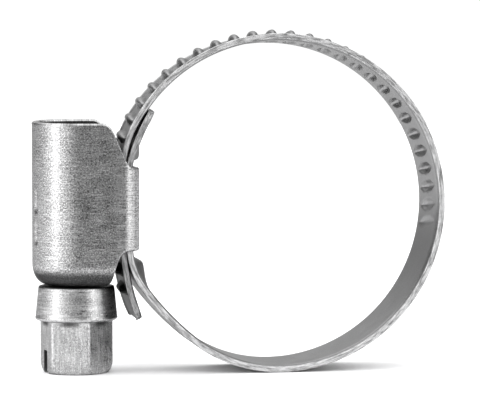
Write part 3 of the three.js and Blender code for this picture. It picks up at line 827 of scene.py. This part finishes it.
def worm_rings(angle):
    """Rings from the worm's top to its shoulder and the neck."""
    top = [(0.5, WORM_TOP_Z - 0.45), (1.0, WORM_TOP_Z)]
    top += rounded_corner(1.4, WORM_ROOT_RADIUS, WORM_TOP_Z, THREAD_TOP_Z, 0.35)
    thread = []
    for z in np.arange(THREAD_TOP_Z, THREAD_BOTTOM_Z - 0.05, -THREAD_PITCH / 20):
        share = thread_share(z, angle)
        thread.append((z, WORM_ROOT_RADIUS + (WORM_CREST_RADIUS - WORM_ROOT_RADIUS) * share, 0))
    neck = [
        (WORM_ROOT_RADIUS, shoulder_z + 0.1), (WORM_ROOT_RADIUS - 0.1, shoulder_z),
        (NECK_RADIUS + 0.1, shoulder_z), (NECK_RADIUS, shoulder_z - 0.1),
        (NECK_RADIUS, collar_top_z + 0.1), (NECK_RADIUS + 0.1, collar_top_z),
    ]
    return round_rings(top) + thread + round_rings(neck)


def collar_rings():
    """Rings of the conical collar, whose lower edge is worn."""
    top = rounded_corner(3.2, COLLAR_TOP_RADIUS, collar_top_z, collar_bottom_z, COLLAR_TOP_CHAMFER)
    cone = []
    for z in np.linspace(collar_top_z - 0.35, collar_bottom_z + 0.45, 14):
        down = (collar_top_z - z) / COLLAR_LENGTH
        cone.append((COLLAR_TOP_RADIUS + (COLLAR_RADIUS - COLLAR_TOP_RADIUS) * down, z))
    foot = rounded_corner(HEX_ACROSS_FLATS / 2 + 0.7, COLLAR_RADIUS, collar_bottom_z, collar_top_z,
                          COLLAR_FOOT_CHAMFER)
    return round_rings(top + cone) + round_rings(reversed(foot), 0.6)


def hexagon_rings(angle):
    """Rings of the hexagon, with a fillet under the collar and a turned chamfer at its end."""
    flats = hexagon_radius(angle)
    corner = flats.max()
    worn = smoothstep(0.93, 1, flats / corner) * 0.8
    rings = []
    for below, out in ((0, 0.12), (0.05, 0.04), (0.14, 0)):
        rings.append((collar_bottom_z - below, flats + out, worn))
    for z in np.linspace(collar_bottom_z - 0.3, ring_bottom_z + HEX_CHAMFER_HEIGHT + 0.1, 12):
        rings.append((z, flats, worn))
    end_radius = HEX_ACROSS_FLATS / 2 - HEX_END_INSET
    for height in np.linspace(HEX_CHAMFER_HEIGHT, 0.07, 22):
        cone = end_radius + (corner + 0.05 - end_radius) * (height / HEX_CHAMFER_HEIGHT) ** 0.62
        softness = 0.03
        lower = np.minimum(cone, flats) - softness * np.exp(-np.abs(cone - flats) / softness)
        rings.append((ring_bottom_z + height, lower, worn))
    end = [(end_radius, 0.02), (end_radius - 0.1, 0.0), (2.4, 0.0), (1.2, 0.0)]
    return rings + round_rings([(radius, ring_bottom_z + height) for radius, height in end])


def cut_slot(piece):
    """Cuts the screwdriver slot through the end of the head."""
    cutter_mesh = bpy.data.meshes.new("slot_cutter")
    shape = bmesh.new()
    bmesh.ops.create_cube(shape, size=1)
    reach = 3 * WORM_CREST_RADIUS
    for vertex in shape.verts:
        x, y, z = vertex.co.x * reach, vertex.co.y * SLOT_WIDTH, vertex.co.z * 2 * SLOT_DEPTH
        turned = (worm_x + x * math.cos(HEX_TURN) - y * math.sin(HEX_TURN),
                  x * math.sin(HEX_TURN) + y * math.cos(HEX_TURN), ring_bottom_z + z)
        vertex.co = Vector(place(turned))
    shape.to_mesh(cutter_mesh)
    shape.free()
    cutter = add_object("slot_cutter", cutter_mesh)
    cut = piece.modifiers.new("slot", "BOOLEAN")
    cut.operation = "DIFFERENCE"
    cut.solver = "EXACT"
    cut.object = cutter
    evaluated = piece.evaluated_get(bpy.context.evaluated_depsgraph_get())
    finished = bpy.data.meshes.new_from_object(evaluated)
    piece.modifiers.clear()
    piece.data = finished
    bpy.data.objects.remove(cutter)
    finished.set_sharp_from_angle(angle=SHARP_ANGLE)


def screw_grain(z, radius, angle):
    """Grain that runs round the turned part and down the flats of the hexagon."""
    level = np.full(SCREW_COLUMNS, z)
    if z < collar_bottom_z - 0.1:
        return np.stack([level, 0.5 * level, HEX_ACROSS_FLATS / 2 * angle], axis=-1)
    return np.stack([radius * np.cos(angle), radius * np.sin(angle), level], axis=-1)


def screw_painted_shade(z, radius):
    """Painted shade above the collar's side, and a painted shadow round its underside where it overhangs
    the hexagon's flats.
    """
    # painted shade over the collar's top, the neck and the worm
    if z > collar_top_z - COLLAR_TOP_CHAMFER:
        return np.full(SCREW_COLUMNS, 0.9)
    # painted shadow of the collar on the hexagon's flats
    if collar_bottom_z - 0.35 < z < collar_bottom_z + 0.02:
        return 0.9 * (1 - smoothstep(0.87, 0.95, radius / radius.max()))
    return np.zeros(SCREW_COLUMNS)


def build_screw():
    """Worm, neck, collar and slotted hexagon head as one turned piece."""
    angle = np.arange(SCREW_COLUMNS) * FULL_TURN / SCREW_COLUMNS
    rings = worm_rings(angle) + collar_rings() + hexagon_rings(angle)
    points, grain, wear_and_highlight, painted_shade = [], [], [], []
    for z, radius, worn in rings:
        points.append(np.stack([worm_x + radius * np.cos(angle), radius * np.sin(angle),
                                np.full(SCREW_COLUMNS, z)], axis=-1))
        grain.append(screw_grain(z, radius, angle))
        wear_and_highlight.append(np.broadcast_to(worn, SCREW_COLUMNS))
        painted_shade.append(screw_painted_shade(z, radius))
    faces = tube_faces(len(rings), SCREW_COLUMNS)
    piece = make_piece("screw", np.concatenate(points), faces, np.concatenate(grain),
                       np.concatenate(wear_and_highlight), np.concatenate(painted_shade))
    piece.data.materials.append(materials["screw_steel"])
    cut_slot(piece)
    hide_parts("worm_screw")
    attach(piece, "worm_screw")


# ---------- materials ----------

class Graph:
    """The nodes of one shader, added one call at a time."""

    def __init__(self, tree):
        self.tree = tree

    def add(self, kind, inputs=None, **settings):
        """A new node. inputs maps a socket's name or number to a value or to another node's output."""
        node = self.tree.nodes.new(kind)
        for name, value in settings.items():
            setattr(node, name, value)
        for key, value in (inputs or {}).items():
            self.connect(value, node.inputs[key])
        return node

    def connect(self, value, socket):
        if isinstance(value, bpy.types.NodeSocket):
            self.tree.links.new(value, socket)
        else:
            socket.default_value = value

    def attribute(self, name):
        return self.add("ShaderNodeAttribute", attribute_name=name)

    def stretched(self, vector, scale):
        return self.add("ShaderNodeVectorMath", {0: vector, 1: scale}, operation="MULTIPLY").outputs[0]

    def noise(self, vector, scale, detail=3.0, roughness=0.6):
        node = self.add("ShaderNodeTexNoise",
                        {"Vector": vector, "Scale": scale, "Detail": detail, "Roughness": roughness})
        return node.outputs["Fac"]

    def ramp(self, value, low, high, start=0.0, end=1.0):
        """value from low..high as start..end, clamped."""
        return self.add("ShaderNodeMapRange", {"Value": value, "From Min": low, "From Max": high,
                                               "To Min": start, "To Max": end}).outputs["Result"]

    def math(self, operation, a, b):
        return self.add("ShaderNodeMath", {0: a, 1: b}, operation=operation).outputs[0]

    def mix(self, factor, a, b):
        node = self.add("ShaderNodeMix", {"Factor": factor, "A": a, "B": b}, data_type="RGBA")
        return node.outputs["Result"]


def grey(value):
    return (value, value, value * 1.005, 1.0)


def new_material(name):
    """A material, its graph and its shader node."""
    material = bpy.data.materials.new(name)
    material.use_nodes = True
    tree = material.node_tree
    return material, Graph(tree), tree.nodes["Principled BSDF"]


def steel_lightness(g, place_on, mottle, grains, flecks, scratch, speckle):
    """Mix of a steel's two tones: its mottle, speckle and scratches lighten it and its pits darken it."""
    pits = g.add("ShaderNodeTexVoronoi", {"Vector": place_on, "Scale": 2.2, "Randomness": 1.0},
                 feature="F1").outputs["Distance"]
    pit = g.ramp(pits, 0.05, 0.14, 1.0, 0.0)
    lightness = g.math("ADD", g.ramp(mottle, 0.3, 0.7, 0.0, 0.15),
                       g.ramp(grains, 0.42, 0.58, 0.0, 0.42 * speckle))
    lightness = g.math("ADD", lightness, g.ramp(flecks, 0.54, 0.63, 0.0, 0.8 * speckle))
    lightness = g.math("ADD", lightness, g.math("MULTIPLY", scratch, 0.3))
    return g.math("SUBTRACT", lightness, g.math("MULTIPLY", pit, 0.4))


def painted_shade_and_wear(g, place_on, colour, grains, wear_and_highlight, painted_shade):
    """The colour darkened by painted shade, and with streaks where the metal was sheared and where a
    highlight is painted.
    """
    # painted shade: how much of the dark grey is mixed in
    shade_share = g.math("MULTIPLY", painted_shade, g.ramp(grains, 0.3, 0.7, 1.0, 0.75))
    colour = g.mix(shade_share, colour, grey(PAINTED_SHADE_GREY))
    shear = g.noise(g.stretched(place_on, (0.9, 7.0, 7.0)), 1.0, 4.0, 0.65)
    sheared_and_highlight = g.mix(g.ramp(shear, 0.36, 0.6), grey(0.18), grey(0.7))
    colour = g.mix(g.math("MULTIPLY", wear_and_highlight, 0.85), colour, sheared_and_highlight)
    return g.mix(g.math("MULTIPLY", shade_share, 0.5), colour, grey(PAINTED_SHADE_GREY))


def steel_bump(g, place_on, grains, flecks, scratches, wear_and_highlight, speckle):
    """The surface's fine relief: speckle, then scratches, then the rough sheared edges."""
    fine = g.add("ShaderNodeBump", {"Height": g.math("ADD", grains, g.math("MULTIPLY", flecks, 0.6)),
                                    "Distance": 0.000012 * speckle, "Strength": 1.0})
    lines = g.add("ShaderNodeBump", {"Height": scratches, "Distance": 0.00001, "Strength": 0.6,
                                     "Normal": fine.outputs["Normal"]})
    rough_edge = g.add("ShaderNodeBump", {
        "Height": g.math("MULTIPLY", g.noise(place_on, 3.0, 3.0, 0.6), wear_and_highlight),
        "Distance": 0.00012, "Strength": 0.6, "Normal": lines.outputs["Normal"]})
    return rough_edge.outputs["Normal"]


def steel(name, tone, roughness, scratch_along, scratch_share, speckle, grazing, edge_roughness):
    """Worn stainless steel: mottled tone, speckle, scratches and pits, painted shade, and rough sheared
    edges whose mix also paints a highlight on the housing.
    """
    material, g, shader = new_material(name)
    place_on = g.attribute("grain").outputs["Vector"]
    wear_and_highlight = g.attribute("wear_and_highlight").outputs["Fac"]
    painted_shade = g.attribute("painted_shade").outputs["Fac"]
    mottle = g.noise(place_on, 0.55, 4.0, 0.62)
    grains = g.noise(place_on, 5.0, 4.0, 0.8)
    flecks = g.noise(place_on, 7.0, 2.0, 0.6)
    scratches = g.noise(g.stretched(place_on, scratch_along), 1.0, 3.0, 0.5)
    scratch = g.ramp(scratches, 0.62 - scratch_share, 0.70 - scratch_share)

    lightness = steel_lightness(g, place_on, mottle, grains, flecks, scratch, speckle)
    dark, light = tone
    colour = g.mix(lightness, grey(dark), grey(light))
    g.connect(painted_shade_and_wear(g, place_on, colour, grains, wear_and_highlight, painted_shade), shader.inputs["Base Color"])

    rough = g.math("ADD", g.ramp(mottle, 0.3, 0.7, roughness - 0.04, roughness + 0.06),
                   g.ramp(grains, 0.3, 0.7, -0.05, 0.07))
    for amount, share in ((scratch, 0.05), (painted_shade, 0.1), (wear_and_highlight, edge_roughness)):
        rough = g.math("ADD", rough, g.math("MULTIPLY", amount, share))
    g.connect(rough, shader.inputs["Roughness"])
    shader.inputs["Metallic"].default_value = 1.0
    shader.inputs["Specular Tint"].default_value = (grazing, grazing, grazing, 1)
    bump = steel_bump(g, place_on, grains, flecks, scratches, wear_and_highlight, speckle)
    g.connect(bump, shader.inputs["Normal"])
    return material


def floor_material():
    material, g, shader = new_material("floor_paint")
    where = g.add("ShaderNodeTexCoord").outputs["Object"]
    cloud = g.noise(where, 6.0, 3.0, 0.5)
    g.connect(g.mix(g.ramp(cloud, 0.3, 0.7), grey(0.9), grey(0.94)), shader.inputs["Base Color"])
    g.connect(g.ramp(cloud, 0.3, 0.7, 0.75, 0.85), shader.inputs["Roughness"])
    shader.inputs["Specular IOR Level"].default_value = 0.1
    return material


materials = {name: steel(name, **look) for name, look in STEELS.items()}


# ---------- studio ----------

def build_floor():
    mesh = bpy.data.meshes.new("floor")
    shape = bmesh.new()
    bmesh.ops.create_grid(shape, x_segments=8, y_segments=8, size=FLOOR_HALF_SIZE)
    shape.to_mesh(mesh)
    shape.free()
    mesh.materials.append(floor_material())
    floor = add_object("floor", mesh)
    floor.location = (0, FLOOR_HALF_SIZE - FLOOR_IN_FRONT, cad_box[0].z)


def build_world():
    """A pale room that brightens and darkens round the clamp, and is bright overhead."""
    world = bpy.data.worlds.new("studio")
    world.use_nodes = True
    g = Graph(world.node_tree)
    where = g.add("ShaderNodeTexCoord").outputs["Generated"]
    parts = g.add("ShaderNodeSeparateXYZ", {0: where}).outputs
    azimuth = g.math("ARCTAN2", parts["X"], g.math("MULTIPLY", parts["Y"], -1.0))
    turn = g.ramp(azimuth, -math.pi, math.pi)
    gradient = g.add("ShaderNodeValToRGB", {0: turn})
    gradient.color_ramp.interpolation = "EASE"
    stops = gradient.color_ramp.elements
    while len(stops) < len(ROOM_BRIGHTNESS):
        stops.new(0.5)
    for stop, (degrees, level) in zip(stops, ROOM_BRIGHTNESS):
        stop.position = (degrees + 180) / 360
        share = level / ROOM_PEAK
        stop.color = (share, share, share, 1)
    level = g.math("MULTIPLY", gradient.outputs["Color"], ROOM_PEAK)
    strength = g.add("ShaderNodeMapRange", {"Value": parts["Z"], "From Min": 0.3, "From Max": 0.75,
                                            "To Min": level, "To Max": ROOM_TOP},
                     interpolation_type="SMOOTHSTEP")
    background = world.node_tree.nodes["Background"]
    g.connect(strength.outputs["Result"], background.inputs["Strength"])
    background.inputs["Color"].default_value = (1, 1, 1, 1)
    bpy.context.scene.world = world


def direction_to(azimuth, elevation):
    """Direction from the clamp, in degrees: azimuth 0 is in front and 90 at +X."""
    azimuth *= DEG
    elevation *= DEG
    return Vector((math.sin(azimuth) * math.cos(elevation), -math.cos(azimuth) * math.cos(elevation),
                   math.sin(elevation)))


def face_back(thing, direction):
    """Turns a camera or light that stands in this direction so that it faces the clamp."""
    thing.rotation_euler = (-direction).to_track_quat("-Z", "Y").to_euler()


def add_light(name, angles, distance, size, power):
    """A soft box that faces the clamp."""
    direction = direction_to(*angles)
    data = bpy.data.lights.new(name, "AREA")
    data.shape = "RECTANGLE"
    data.size, data.size_y = size
    data.energy = power
    light = add_object(name, data)
    light.location = (cad_box[0] + cad_box[1]) / 2 + direction * distance
    face_back(light, direction)
    light.visible_camera = False


def build_camera():
    direction = direction_to(CAMERA_AZIMUTH, CAMERA_ELEVATION)
    data = bpy.data.cameras.new("camera")
    data.lens = CAMERA_LENS
    data.clip_start = 0.01
    data.clip_end = 20
    camera = add_object("camera", data)
    camera.location = Vector(place(CAMERA_TARGET)) + direction * (CAMERA_DISTANCE / 1000)
    face_back(camera, direction)
    bpy.context.scene.camera = camera


build_band()
build_housing()
build_screw()
build_floor()
build_world()
for light_name, placing in SOFT_BOXES.items():
    add_light(light_name, *placing)
build_camera()
bpy.context.scene.view_settings.view_transform = "Standard"
